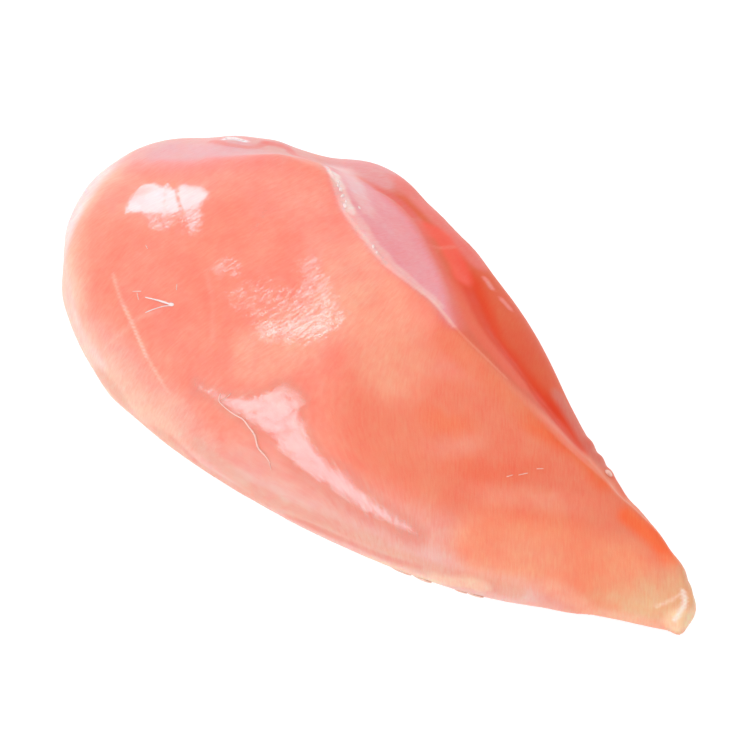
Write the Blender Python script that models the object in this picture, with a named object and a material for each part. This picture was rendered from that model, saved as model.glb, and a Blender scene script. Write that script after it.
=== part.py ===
"""Raw chicken breast fillet, boned and skinned, lying on its cut side.

One muscle, one solid. The plump end is at -X and the thin tip at +X. The soft near
side faces -Y, and on the far side (+Y) a steep cut flank falls away below a ridge.

The shape starts as a slab of square cells. Each cell corner has a place along the
fillet (0 at the plump end, 1 at the tip), a place across it (0 at the near edge, 1 at
the far edge) and a layer (0 underside, 1 top). The functions below turn these into a
real place. Sizes are in millimetres and become metres when a corner is placed.
"""

from math import cos, exp, pi, radians, sin

import bmesh
import bpy
from mathutils import Vector

MILLIMETRE = 0.001

# Cells of the slab: along, across the smooth top, across the flank, and up the side
CELLS_ALONG = 28
CELLS_TOP = 10
CELLS_FLANK = 7
CELLS_SIDE = 3
CELLS_ACROSS = CELLS_TOP + CELLS_FLANK
RIDGE_PLACE = CELLS_TOP / CELLS_ACROSS
END_GATHERING = 0.5

# Rounded plump end and blunt tip, as arcs seen from above
PLUMP_CENTRE = Vector((-61.5, -0.2))
PLUMP_RADIUS = 33.4
PLUMP_HALF_ANGLE = radians(50.0)
TIP_CENTRE = Vector((92.0, 0.9))
TIP_RADIUS = 5.8
TIP_HALF_ANGLE = radians(68.0)

# Seven stations between the two arcs, seen from above: the widest edge on each side,
# and the ridge between the smooth top and the cut flank
NEAR_EDGE = ((-73.0, -34.8), (-56.0, -42.2), (-34.0, -45.2), (-6.0, -43.5), (24.0, -38.0),
             (54.0, -27.5), (78.0, -12.8))
RIDGE_LINE = ((-74.0, 2.0), (-58.0, 14.5), (-41.0, 28.6), (-10.0, 16.7), (20.0, 12.8),
              (50.0, 10.0), (76.0, 12.3))
FAR_EDGE = ((-74.0, 32.0), (-57.0, 42.5), (-40.0, 53.0), (-12.0, 48.2), (20.0, 38.5),
            (51.0, 21.8), (77.0, 14.5))

# Heights at the plump end, the stations and the tip: of the ridge, and of the crown
RIDGE_HEIGHT = (27.0, 33.0, 37.0, 36.5, 35.5, 32.5, 23.5, 14.0, 9.5)
CROWN_HEIGHT = (36.0, 38.0, 39.0, 38.5, 35.5, 31.0, 22.5, 14.0, 9.5)

# Side of the fillet: height of each layer, and how far it lies inside the widest edge.
# Both shrink towards the tip, to TIP_THINNING of their size.
LAYER_HEIGHT = (0.0, 3.0, 8.0, 13.5)
LAYER_INSET = (5.0, 0.9, 0.0, 1.2)
TIP_THINNING = 0.55
THINNING_START = 0.6
THINNING_END = 0.95

# Rounding of the upper surface: at the near shoulder as a share of the way to the
# ridge, and at the plump end as a share of the whole length. A power of 2 is an ellipse.
SHOULDER_SHARE = 0.9
PLUMP_SHARE = 0.31
ELLIPSE_POWER = 2.0
FAR_SLOPE_POWER = 1.5

# The crown's height passes into the ridge's height beyond this share of the way to it
CROWN_SHARE = 0.45

# Places along the slab where the rounded far slope turns into the flat cut flank
FLANK_START = 0.16
FLANK_END = 0.36

# Creased stretch of the ridge, as places along the slab, and its sharpness from 0 to 1
RIDGE_START = 0.3
RIDGE_END = 0.8
RIDGE_SHARPNESS = 0.55
SAME_PLACE = 1e-5

# Long valley in the flank, as shares of the flank's width
VALLEY_DEPTH = 2.0
VALLEY_SHARE = 0.5
VALLEY_WIDTH = 0.2

# Fold where the plump end meets the flank, and shallow hollow in the smooth top
FOLD_CENTRE = Vector((-47.0, 42.0))
FOLD_DEPTH = 4.5
FOLD_SIZE = 10.0
HOLLOW_CENTRE = Vector((-8.0, -2.0))
HOLLOW_DEPTH = 1.5
HOLLOW_LENGTH = 26.0
HOLLOW_WIDTH = 15.0

# Moist raw meat: pale salmon pink, smooth and wet
MEAT_COLOUR = (0.87, 0.36, 0.25, 1.0)
MEAT_ROUGHNESS = 0.3


def blend(start, end, share):
    """Value a share of the way from start to end."""
    return start + (end - start) * share


def smooth_step(low, high, value):
    """Zero below low, one above high, and a soft rise between them."""
    share = min(max((value - low) / (high - low), 0.0), 1.0)
    return share * share * (3.0 - 2.0 * share)


def bump(offset, width):
    """Soft bump that is 1 at its middle."""
    return exp(-(offset / width) ** 2)


def rounding(share, power):
    """Height of a rounded edge, 0 at its foot and 1 from its shoulder on."""
    return (1.0 - (1.0 - min(max(share, 0.0), 1.0)) ** power) ** (1.0 / power)


def spline(points, place):
    """Point of the smooth curve that passes through the stations' points."""
    last = len(points) - 1
    first = min(int(place * last), last - 1)
    share = place * last - first
    start, end = points[first], points[first + 1]
    leave = (end - points[max(first - 1, 0)]) * 0.5
    arrive = (points[min(first + 2, last)] - start) * 0.5
    square, cube = share ** 2, share ** 3
    return (start * (2.0 * cube - 3.0 * square + 1.0) + leave * (cube - 2.0 * square + share)
            + end * (3.0 * square - 2.0 * cube) + arrive * (cube - square))


def plump_arc(across):
    """Point of the plump end's outline, from its near corner to its far corner."""
    angle = blend(-PLUMP_HALF_ANGLE, PLUMP_HALF_ANGLE, across)
    return PLUMP_CENTRE + Vector((-cos(angle), sin(angle))) * PLUMP_RADIUS


def tip_arc(across):
    """Point of the tip's outline, from its near corner to its far corner."""
    angle = blend(-TIP_HALF_ANGLE, TIP_HALF_ANGLE, across)
    return TIP_CENTRE + Vector((cos(angle), sin(angle))) * TIP_RADIUS


def long_line(stations, across):
    """Points of a line that runs from the plump end's arc to the tip's arc."""
    return [plump_arc(across)] + [Vector(station) for station in stations] + [tip_arc(across)]


NEAR_LINE = long_line(NEAR_EDGE, 0.0)
TOP_LINE = long_line(RIDGE_LINE, RIDGE_PLACE)
FAR_LINE = long_line(FAR_EDGE, 1.0)


def between_lines(along, across):
    """Place seen from above, on straight runs from near edge to ridge to far edge."""
    ridge = spline(TOP_LINE, along)
    if across < RIDGE_PLACE:
        return blend(spline(NEAR_LINE, along), ridge, across / RIDGE_PLACE)
    return blend(ridge, spline(FAR_LINE, along), (across - RIDGE_PLACE) / (1.0 - RIDGE_PLACE))


def plan(along, across):
    """Place seen from above, with both ends bent to follow their arcs."""
    place = between_lines(along, across)
    place += (plump_arc(across) - between_lines(0.0, across)) * (1.0 - along) ** 3
    place += (tip_arc(across) - between_lines(1.0, across)) * along ** 3
    return place


def nearest_on_spine(spot):
    """Nearest point of the middle line between the centres of the two arcs."""
    spine = TIP_CENTRE - PLUMP_CENTRE
    share = (spot - PLUMP_CENTRE).dot(spine) / spine.length_squared
    return PLUMP_CENTRE + spine * min(max(share, 0.0), 1.0)


def drawn_in(along, across, inset):
    """Place seen from above, on an outline that lies inside the widest edge."""
    near, far = spline(NEAR_LINE, along), spline(FAR_LINE, along)
    near_reach = (near - nearest_on_spine(near)).length
    far_reach = (far - nearest_on_spine(far)).length
    spot = plan(along, across)
    return blend(spot, nearest_on_spine(spot), inset / blend(near_reach, far_reach, across))


def edge_scale(along):
    """Thinning of the side towards the tip."""
    return blend(1.0, TIP_THINNING, smooth_step(THINNING_START, THINNING_END, along))


def smooth_top_height(along, share, spot):
    """Height of the smooth top, a share of the way from the near edge to the ridge."""
    foot = LAYER_HEIGHT[-1] * edge_scale(along)
    crown, ridge = spline(CROWN_HEIGHT, along), spline(RIDGE_HEIGHT, along)
    peak = blend(crown, ridge, smooth_step(CROWN_SHARE, 1.0, share))
    side = rounding(share / SHOULDER_SHARE, ELLIPSE_POWER)
    end = rounding(along / PLUMP_SHARE, ELLIPSE_POWER)
    from_hollow = spot - HOLLOW_CENTRE
    hollow = HOLLOW_DEPTH * bump(from_hollow.x, HOLLOW_LENGTH) * bump(from_hollow.y, HOLLOW_WIDTH)
    return foot + (peak - foot) * side * end - hollow


def far_slope_height(along, share, spot):
    """Height beyond the ridge, a share of the way from the ridge to the far edge."""
    foot = LAYER_HEIGHT[-1] * edge_scale(along)
    ridge = spline(RIDGE_HEIGHT, along)
    flank = smooth_step(FLANK_START, FLANK_END, along)
    side = blend(rounding(1.0 - share, FAR_SLOPE_POWER), 1.0 - share, flank)
    end = rounding(along / PLUMP_SHARE, ELLIPSE_POWER)
    valley = VALLEY_DEPTH * flank * bump(share - VALLEY_SHARE, VALLEY_WIDTH) * edge_scale(along)
    fold = FOLD_DEPTH * bump((spot - FOLD_CENTRE).length, FOLD_SIZE)
    return foot + (ridge - foot) * side * end - valley - fold


def corner_place(along, across, layer):
    """Real place of a cell corner, in millimetres."""
    level = round(layer * CELLS_SIDE)
    spot = drawn_in(along, across, LAYER_INSET[level] * edge_scale(along))
    height = LAYER_HEIGHT[level] * edge_scale(along)
    if level == CELLS_SIDE and 0.0 < along < 1.0:
        if across <= RIDGE_PLACE:
            height = smooth_top_height(along, across / RIDGE_PLACE, spot)
        else:
            height = far_slope_height(along, (across - RIDGE_PLACE) / (1.0 - RIDGE_PLACE), spot)
    return Vector((spot.x, spot.y, height))


def build_slab(bm):
    """Slab of cells whose corners hold their places along, across and up as 0 to 1."""
    grid = bmesh.ops.create_grid(bm, x_segments=CELLS_ALONG, y_segments=CELLS_ACROSS, size=0.5)
    bmesh.ops.translate(bm, verts=grid["verts"], vec=(0.5, 0.5, 0.0))
    top = bm.verts[:] + bm.edges[:] + bm.faces[:]
    for _ in range(CELLS_SIDE):
        top = bmesh.ops.extrude_face_region(bm, geom=top)["geom"]
        corners = [item for item in top if isinstance(item, bmesh.types.BMVert)]
        bmesh.ops.translate(bm, verts=corners, vec=(0.0, 0.0, 1.0 / CELLS_SIDE))


def sharpen_ridge(bm):
    """Crease along the ridge, while the slab's corners still hold their places as 0 to 1."""
    crease = bm.edges.layers.float.new("crease_edge")
    for edge in bm.edges:
        on_ridge = all(abs(corner.co.y - RIDGE_PLACE) < SAME_PLACE for corner in edge.verts)
        on_top = all(corner.co.z > 1.0 - SAME_PLACE for corner in edge.verts)
        in_stretch = all(RIDGE_START < corner.co.x < RIDGE_END for corner in edge.verts)
        if on_ridge and on_top and in_stretch:
            edge[crease] = RIDGE_SHARPNESS


def gather_ends(along):
    """Rows of cells drawn together at both ends, where the surface turns fastest."""
    return along - END_GATHERING * sin(2.0 * pi * along) / (2.0 * pi)


def shape_slab(bm):
    """Every corner of the slab moved to its real place."""
    for corner in bm.verts:
        along = gather_ends(corner.co.x)
        corner.co = corner_place(along, corner.co.y, corner.co.z) * MILLIMETRE
    bmesh.ops.recalc_face_normals(bm, faces=bm.faces[:])


def meat_material():
    """Moist raw meat."""
    material = bpy.data.materials.new("raw_meat")
    material.use_nodes = True
    shader = material.node_tree.nodes["Principled BSDF"]
    shader.inputs["Base Color"].default_value = MEAT_COLOUR
    shader.inputs["Roughness"].default_value = MEAT_ROUGHNESS
    shader.inputs["Metallic"].default_value = 0.0
    return material


def centre_over_origin(breast):
    """Shift the mesh so that the middle of the finished fillet is above the origin."""
    bpy.context.view_layer.update()
    finished = breast.evaluated_get(bpy.context.evaluated_depsgraph_get())
    skin = [vertex.co.copy() for vertex in finished.to_mesh().vertices]
    finished.to_mesh_clear()
    for axis in range(2):
        reach = [spot[axis] for spot in skin]
        middle = (min(reach) + max(reach)) / 2.0
        for vertex in breast.data.vertices:
            vertex.co[axis] -= middle


def build_breast():
    """The whole fillet as one object, rounded by one step of subdivision."""
    bm = bmesh.new()
    build_slab(bm)
    sharpen_ridge(bm)
    shape_slab(bm)
    mesh = bpy.data.meshes.new("chicken_breast")
    bm.to_mesh(mesh)
    bm.free()
    mesh.shade_smooth()
    mesh.materials.append(meat_material())
    breast = bpy.data.objects.new("chicken_breast", mesh)
    bpy.context.collection.objects.link(breast)
    smoothing = breast.modifiers.new("smoothing", "SUBSURF")
    smoothing.levels = 1
    smoothing.render_levels = 1
    centre_over_origin(breast)


def main():
    """Clear the scene and build the fillet."""
    for item in list(bpy.data.objects):
        bpy.data.objects.remove(item)
    build_breast()


main()
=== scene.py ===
"""Looks of one raw chicken breast fillet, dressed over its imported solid.

The fillet lies along X, with its plump end at -X and its thin tip at +X. The soft near
side faces -Y, the cut flank falls away on the +Y side and the underside lies at Z = 0.
Sizes and places are in millimetres, and become metres where a mesh is made or moved.
A place on the upper skin is given by its X and Y alone and is dropped onto the skin.
"""

import logging
import math
from dataclasses import dataclass
from enum import Enum

import bpy
import numpy as np
from mathutils import Matrix, Vector, noise
from mathutils.bvhtree import BVHTree
from mathutils.kdtree import KDTree


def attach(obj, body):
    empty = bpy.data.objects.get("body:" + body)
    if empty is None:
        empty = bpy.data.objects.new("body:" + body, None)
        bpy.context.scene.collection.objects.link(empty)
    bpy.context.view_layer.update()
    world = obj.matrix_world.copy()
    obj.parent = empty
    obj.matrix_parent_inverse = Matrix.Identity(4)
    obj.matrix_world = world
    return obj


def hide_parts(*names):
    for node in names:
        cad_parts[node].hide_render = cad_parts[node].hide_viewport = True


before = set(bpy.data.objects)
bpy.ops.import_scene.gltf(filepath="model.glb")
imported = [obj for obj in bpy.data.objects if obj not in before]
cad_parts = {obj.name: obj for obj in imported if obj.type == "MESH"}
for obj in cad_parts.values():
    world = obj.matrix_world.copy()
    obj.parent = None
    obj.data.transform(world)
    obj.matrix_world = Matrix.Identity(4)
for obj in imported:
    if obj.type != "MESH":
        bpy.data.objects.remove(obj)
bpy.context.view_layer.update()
LOG = logging.getLogger("fillet")

MM = 0.001
SOLID_NAME = "chicken_breast"

Station = tuple[float, float]

# Blender's noise texture mostly stays between these two values
NOISE_LOW = 0.3
NOISE_HIGH = 0.7

# Lines that several finishes share, seen from above. The ridge parts the smooth top from
# the cut flank. The silver skin lies between the ridge and its outer edge.
RIDGE = ((-44.0, 27.6), (-36.3, 22.0), (-29.3, 17.6), (-19.0, 14.5), (-12.4, 12.8), (-4.2, 12.8),
         (3.2, 12.9), (10.6, 10.9), (18.1, 10.2), (27.8, 9.8), (36.0, 10.2), (43.5, 11.6), (50.0, 12.6),
         (58.2, 12.9))
SILVER_EDGE = ((-38.0, 33.5), (-31.0, 34.4), (-25.4, 34.0), (-19.1, 32.2), (-12.8, 28.7), (-6.6, 25.0),
               (-0.3, 20.4), (4.0, 16.6), (8.6, 12.6))
RIDGE_FAT = ((-40.0, 26.6), (-34.5, 22.6), (-28.6, 19.2), (-18.4, 16.0), (-11.6, 14.4), (-3.6, 14.2),
             (3.6, 14.0))
PLUMP_CREST = ((-83.4, -0.5), (-76.8, 1.6), (-71.2, 3.6), (-65.1, 7.6), (-59.2, 12.2), (-54.0, 18.0),
               (-50.0, 24.0))
VALLEY = ((-8.0, 33.0), (0.6, 31.0), (7.4, 27.0), (12.6, 23.4), (17.5, 20.6), (24.2, 18.8), (30.1, 16.9),
          (35.5, 15.7), (40.8, 14.8), (48.0, 14.4))
# Line of the painted shade in the flank's valley
PAINTED_VALLEY_SHADE = ((0.6, 29.5), (7.0, 25.2), (12.5, 21.6), (18.0, 18.8), (24.2, 17.2), (30.5, 15.8),
               (36.0, 14.8), (42.0, 14.0), (48.0, 13.6))
FLANK = (*RIDGE, (66.0, 12.0), (60.0, 24.0), (40.0, 32.0), (10.0, 46.0), (-30.0, 56.0),
         (-50.0, 48.0), (-44.0, 36.0))
SILVER = (*RIDGE[:8], *reversed(SILVER_EDGE))
SHOULDER_FILM = ((-46.0, 28.0), (-38.0, 31.0), (-35.0, 34.0), (-32.0, 38.0), (-33.0, 46.0), (-44.0, 52.0),
                 (-54.0, 40.0))
SHOULDER_EDGE = ((-33.4, 44.5), (-26.0, 42.8), (-17.8, 40.9), (-9.8, 39.1), (-3.1, 38.1))
FOLD = ((-35.0, 33.5), (-31.2, 36.1), (-26.8, 36.4), (-20.4, 35.1))
# Outline of the lilac film and painted sheen on the far side of the plump end
LILAC_SHEEN_BAND = ((-90.0, -1.0), (-83.4, 0.7), (-76.0, 1.5), (-69.6, 3.1), (-67.1, 5.6), (-64.3, 8.6),
              (-58.8, 11.5), (-54.8, 15.3), (-52.7, 18.2), (-51.0, 26.0), (-50.0, 34.0), (-60.0, 38.0),
              (-72.0, 34.0), (-84.0, 22.0), (-93.0, 8.0))
# Line of a painted highlight, a glint at the far edge of the plump end
PAINTED_GLINT = ((-71.6, 19.8), (-69.3, 21.1), (-66.6, 22.0))
UNDERSIDE = ((-100.0, -60.0), (100.0, -60.0), (100.0, 60.0), (-100.0, 60.0))
TENDON = ((-62.0, 6.0), (-30.0, 3.0), (10.0, -4.0), (60.0, -8.0), (60.0, -11.0), (8.0, -10.0),
          (-32.0, -5.0), (-62.0, -4.0))

# Rims and lines of the soft near side. Its rims carry a painted glow, as light comes through the thin flesh
# there
NEAR_RIM = ((-56.0, -46.0), (-46.0, -47.8), (-33.0, -48.3), (-20.0, -48.0), (-4.0, -46.0), (10.0, -43.5),
            (24.0, -40.0), (36.0, -36.5), (48.0, -32.0), (60.0, -26.0))
LEFT_RIM_GLOW = ((-92.0, 6.0), (-94.5, -4.0), (-91.5, -17.0), (-84.0, -29.0), (-74.0, -38.5), (-62.0, -45.0),
            (-50.0, -47.8), (-36.0, -48.5))
LEFT_EDGE_GLOW = ((-93.0, 0.0), (-91.0, -10.0), (-86.6, -21.2), (-83.4, -28.1), (-78.9, -33.7), (-71.0, -39.3),
             (-64.6, -42.6), (-56.7, -45.3))
CREAM_RIM = ((28.0, -39.6), (34.0, -37.9), (41.0, -35.4), (47.0, -32.8), (53.0, -29.8))
TAN_LINE = ((-22.0, -46.5), (-10.4, -46.3), (-3.4, -45.5), (7.8, -43.6), (18.2, -40.9), (28.5, -38.2))
PINK_LINE = ((-30.0, -47.9), (-20.9, -47.9), (-8.9, -46.8), (2.7, -45.2), (16.3, -42.4), (29.1, -39.0),
             (38.8, -35.7))
CROSSING = ((-63.2, -30.5), (-60.0, -32.6), (-56.2, -34.6), (-52.1, -36.4), (-47.9, -38.3), (-43.8, -40.1),
            (-39.3, -41.5), (-35.1, -42.7))
CROSSING_BACK = ((-47.4, -31.0), (-49.4, -33.3), (-51.0, -35.3), (-52.2, -38.0), (-54.8, -41.5),
                 (-56.6, -43.0))
CREASE = ((-44.7, -16.9), (-38.4, -21.6), (-32.0, -28.9))
TIP_CREAM = ((76.0, -14.0), (80.0, -8.0), (84.0, -2.0), (88.0, 6.0), (99.0, 6.0), (100.0, -8.0),
             (92.0, -14.0))
# Line of a painted highlight, a crescent at the end of the tip
PAINTED_CRESCENT_GLINT = ((90.9, -0.5), (92.5, -1.8), (93.3, -3.6), (93.4, -5.3), (93.5, -6.8))

# Places where juice lies on the upper skin
WET_SHOULDER = ((-72.2, -16.3), (-74.5, -13.2), (-76.2, -9.3), (-76.8, -5.8), (-73.9, -3.7), (-70.2, -3.8),
                (-67.1, -3.3), (-67.2, -1.0), (-66.2, 0.1), (-63.8, -0.2), (-61.0, 0.5), (-58.4, -0.2),
                (-57.5, -1.8), (-58.0, -5.4), (-60.3, -9.1), (-64.6, -11.8), (-67.7, -13.7))
WET_LOBE = ((-60.3, -8.4), (-57.0, -5.0), (-54.6, -6.5), (-52.6, -8.7), (-51.6, -11.4), (-52.7, -13.0),
            (-54.6, -12.4), (-57.8, -10.4))
DAMP_SHOULDER = ((-67.7, -13.7), (-61.2, -9.6), (-58.6, -12.4), (-60.3, -16.4), (-64.5, -17.1))
WET_SIDE = ((-29.7, -38.1), (-25.9, -37.9), (-22.8, -37.1), (-18.0, -35.2), (-14.6, -32.4), (-12.7, -30.1),
            (-12.1, -27.9), (-9.7, -26.2), (-7.3, -26.2), (-4.2, -26.8), (-3.8, -29.4), (-1.0, -31.3),
            (2.1, -32.8), (6.0, -33.7), (9.4, -34.0), (13.6, -33.2), (17.7, -33.6), (23.9, -33.5),
            (27.8, -33.1), (31.9, -32.1), (36.5, -32.3), (31.4, -34.4), (27.5, -34.9), (23.0, -36.2),
            (16.9, -37.0), (9.5, -37.8), (3.0, -38.3), (-3.5, -37.3), (-9.1, -37.5), (-15.6, -38.0),
            (-22.4, -38.3), (-28.4, -39.6))
WET_MIDDLE = ((-25.2, -23.8), (-25.3, -20.7), (-24.7, -17.7), (-22.7, -14.8), (-19.3, -11.3), (-16.7, -7.7),
              (-13.5, -7.1), (-10.3, -8.5), (-10.1, -11.8), (-12.7, -15.4), (-16.5, -18.4), (-20.3, -21.4))
WET_FAN = ((-22.6, -12.7), (-23.9, -9.7), (-24.9, -5.7), (-28.0, -1.3), (-30.1, 2.7), (-30.1, 4.9),
           (-27.8, 5.3), (-24.6, 3.0), (-20.0, 0.6), (-14.7, -1.9), (-10.1, -4.3), (-9.5, -7.9),
           (-13.9, -10.2), (-19.0, -11.7))
DAMP_MIDDLE = ((-38.1, -18.5), (-34.9, -13.4), (-31.1, -8.9), (-26.3, -6.9), (-23.0, -12.3), (-25.4, -18.3),
               (-30.3, -20.8), (-34.7, -21.0))


def linear(hex_colour: str) -> np.ndarray:
    """Linear red, green and blue of an sRGB hex colour.

    Args:
        hex_colour: six hex digits, such as "f98f72".

    Returns:
        Three numbers from 0 to 1.
    """
    parts = np.array([int(hex_colour[start:start + 2], 16) / 255.0 for start in (0, 2, 4)])
    return np.where(parts <= 0.04045, parts / 12.92, ((parts + 0.055) / 1.055) ** 2.4)


def rgba(hex_colour: str) -> tuple[float, float, float, float]:
    """Linear colour with full alpha, as a shader's socket takes it."""
    return (*linear(hex_colour), 1.0)


def smooth_step(low: float, high: float, value: np.ndarray) -> np.ndarray:
    """Soft rise from 0 at low to 1 at high.

    Args:
        low: value where the rise starts.
        high: value where it ends.
        value: numbers to look up.

    Returns:
        Numbers from 0 to 1.
    """
    share = np.clip((value - low) / (high - low), 0.0, 1.0)
    return share * share * (3.0 - 2.0 * share)


def lumps(points: np.ndarray, size: float, seed: int, octaves: int = 2) -> np.ndarray:
    """Smooth unevenness, the same on each run.

    Args:
        points: places in millimetres.
        size: width of the largest lumps, in millimetres.
        seed: number that picks one pattern.
        octaves: how many finer patterns are added to the first.

    Returns:
        One number for each point, mostly between -1 and 1.
    """
    shift = Vector((17.3, 5.1, 9.7)) * seed
    return np.array([noise.fractal(Vector(spot) / size + shift, 1.0, 2.0, octaves) for spot in points])


def curve_through(stations: tuple[Station, ...], step: float) -> np.ndarray:
    """Places along a smooth curve that passes through stations seen from above.

    Args:
        stations: X and Y of the places that the curve passes through, in millimetres.
        step: distance between places, in millimetres.

    Returns:
        X and Y of each place.
    """
    spots = [Vector(station) for station in stations]
    last = len(spots) - 1
    found = []
    for first in range(last):
        start, end = spots[first], spots[first + 1]
        leave = (end - spots[max(first - 1, 0)]) * 0.5
        arrive = (spots[min(first + 2, last)] - start) * 0.5
        count = max(int((end - start).length / step), 1)
        for number in range(count):
            share = number / count
            square, cube = share ** 2, share ** 3
            found.append(start * (2.0 * cube - 3.0 * square + 1.0) + leave * (cube - 2.0 * square + share)
                         + end * (3.0 * square - 2.0 * cube) + arrive * (cube - square))
    found.append(spots[-1])
    return np.array([tuple(spot) for spot in found])


def select_only(piece: bpy.types.Object) -> None:
    """Make one piece active and the only one selected."""
    bpy.ops.object.select_all(action="DESELECT")
    piece.select_set(True)
    bpy.context.view_layer.objects.active = piece


def apply_modifier(piece: bpy.types.Object, kind: str, **settings: object) -> None:
    """Put one modifier on a piece and apply it.

    Args:
        piece: mesh that is changed.
        kind: Blender's name for the type of modifier.
        settings: the modifier's properties.
    """
    select_only(piece)
    modifier = piece.modifiers.new(kind.lower(), kind)
    for name, value in settings.items():
        setattr(modifier, name, value)
    bpy.ops.object.modifier_apply(modifier=modifier.name)


def add_node(tree: bpy.types.NodeTree, kind: str, settings: dict | None = None,
             links: dict | None = None) -> bpy.types.Node:
    """Add one node to a material.

    Args:
        tree: the material's node tree.
        kind: Blender's name for the type of node.
        settings: values by the name of a property or socket, or by a socket's number.
        links: output sockets by the name or number of the socket that each one feeds.

    Returns:
        The new node.
    """
    node = tree.nodes.new(kind)
    for name, value in (settings or {}).items():
        if isinstance(name, str) and hasattr(node, name):
            setattr(node, name, value)
        else:
            node.inputs[name].default_value = value
    for name, source in (links or {}).items():
        tree.links.new(source, node.inputs[name])
    return node


def new_material(name: str) -> tuple[bpy.types.Material, bpy.types.NodeTree, bpy.types.Node]:
    """Start a material.

    Args:
        name: what the material is.

    Returns:
        The material, its node tree and its shader.
    """
    material = bpy.data.materials.new(name)
    material.use_nodes = True
    tree = material.node_tree
    return material, tree, tree.nodes["Principled BSDF"]


class Surface:
    """Skin of the fillet as it stands, for laying lines and small pieces on it."""

    def __init__(self, skin: bpy.types.Object) -> None:
        """Keep the shape of the skin as it is now."""
        bpy.context.view_layer.update()
        self.tree = BVHTree.FromObject(skin, bpy.context.evaluated_depsgraph_get())

    def drop(self, spot: Station) -> tuple[Vector, Vector]:
        """Find the place on the skin below a spot.

        Args:
            spot: X and Y in millimetres.

        Returns:
            The place and the direction that the skin faces there, in millimetres.
        """
        above = Vector((spot[0], spot[1], 100.0)) * MM
        place, normal, _, _ = self.tree.ray_cast(above, Vector((0.0, 0.0, -1.0)))
        if place is None:
            place, normal, _, _ = self.tree.find_nearest(Vector((spot[0], spot[1], 5.0)) * MM)
        return place / MM, normal

    def beside(self, spot: Station, height: float) -> tuple[Vector, Vector]:
        """Find the place on the skin nearest to a spot at a height.

        Args:
            spot: X and Y in millimetres.
            height: Z in millimetres.

        Returns:
            The place and the direction that the skin faces there, in millimetres.
        """
        place, normal, _, _ = self.tree.find_nearest(Vector((spot[0], spot[1], height)) * MM)
        return place / MM, normal

    def trail(self, stations: tuple[Station, ...], step: float = 0.4, lift: float = 0.0) -> np.ndarray:
        """Lay a smooth line on the skin.

        Args:
            stations: X and Y of the places that it passes through.
            step: distance between its points, in millimetres.
            lift: how far it lies above the skin, in millimetres.

        Returns:
            X, Y and Z of each of its points.
        """
        found = [self.drop(spot) for spot in curve_through(stations, step)]
        return np.array([tuple(place + facing * lift) for place, facing in found])


@dataclass
class Skin:
    """Points of the skin's mesh in millimetres, the way each one faces, and the fibres' run."""

    places: np.ndarray
    facing: np.ndarray

    @classmethod
    def of(cls, mesh: bpy.types.Mesh) -> "Skin":
        """Read a mesh.

        Args:
            mesh: skin's mesh, in metres.

        Returns:
            Its points and the directions that they face.
        """
        places = np.empty(len(mesh.vertices) * 3)
        mesh.vertices.foreach_get("co", places)
        facing = np.empty(len(mesh.vertices) * 3)
        mesh.vertex_normals.foreach_get("vector", facing)
        return cls(places.reshape(-1, 3) / MM, facing.reshape(-1, 3))

    def along_fibres(self) -> np.ndarray:
        """Coordinates that follow the muscle fibres.

        The fibres cross the fillet. They lean towards the tip in the plump half and
        towards the plump end in the thin half, as they fan out from the shoulder.

        Returns:
            For each point the place across the fibres, along them, and up, in millimetres.
        """
        lean = 0.29 - 1.1 * smooth_step(-28.0, 34.0, self.places[:, 0])
        across = self.places[:, 0] - lean * self.places[:, 1]
        return np.stack([across, self.places[:, 1], self.places[:, 2]], axis=1)

    def reach(self, trail: np.ndarray, limit: float) -> tuple[np.ndarray, np.ndarray]:
        """Measure how far each point is from a line on the skin.

        Args:
            trail: X, Y and Z of the line's points, in millimetres.
            limit: greatest distance that matters, in millimetres.

        Returns:
            The distance of each point, at most the limit, and the share of the way along.
        """
        distance = np.full(len(self.places), limit)
        share = np.zeros(len(self.places))
        tree = KDTree(len(trail))
        for number, spot in enumerate(trail):
            tree.insert(spot, number)
        tree.balance()
        inside = np.all((self.places > trail.min(0) - limit) & (self.places < trail.max(0) + limit), axis=1)
        for index in np.flatnonzero(inside):
            _, number, gap = tree.find(self.places[index])
            distance[index] = min(gap, limit)
            share[index] = number / max(len(trail) - 1, 1)
        return distance, share


def plan_distance(places: np.ndarray, outline: np.ndarray) -> np.ndarray:
    """Distance of points from a closed outline seen from above, negative inside it.

    Args:
        places: X, Y and Z of the points.
        outline: X and Y of the outline's corners, in order.

    Returns:
        One signed distance for each point, in millimetres.
    """
    spots = places[:, :2]
    nearest = np.full(len(spots), np.inf)
    inside = np.zeros(len(spots), bool)
    for start, end in zip(outline, np.roll(outline, -1, axis=0)):
        side = end - start
        share = np.clip(((spots - start) @ side) / max(side @ side, 1e-9), 0.0, 1.0)
        nearest = np.minimum(nearest, np.linalg.norm(spots - start - share[:, None] * side, axis=1))
        crosses = (start[1] > spots[:, 1]) != (end[1] > spots[:, 1])
        rise = side[1] if abs(side[1]) > 1e-9 else 1e-9
        at = start[0] + (spots[:, 1] - start[1]) * side[0] / rise
        inside ^= crosses & (spots[:, 0] < at)
    return np.where(inside, -nearest, nearest)


class Area(Enum):
    """How a layer's stations mark where it lies."""

    STROKE = "along a line"
    PATCH = "inside an outline on the upper skin"
    UNDERSIDE = "inside an outline on the underside"


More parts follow.
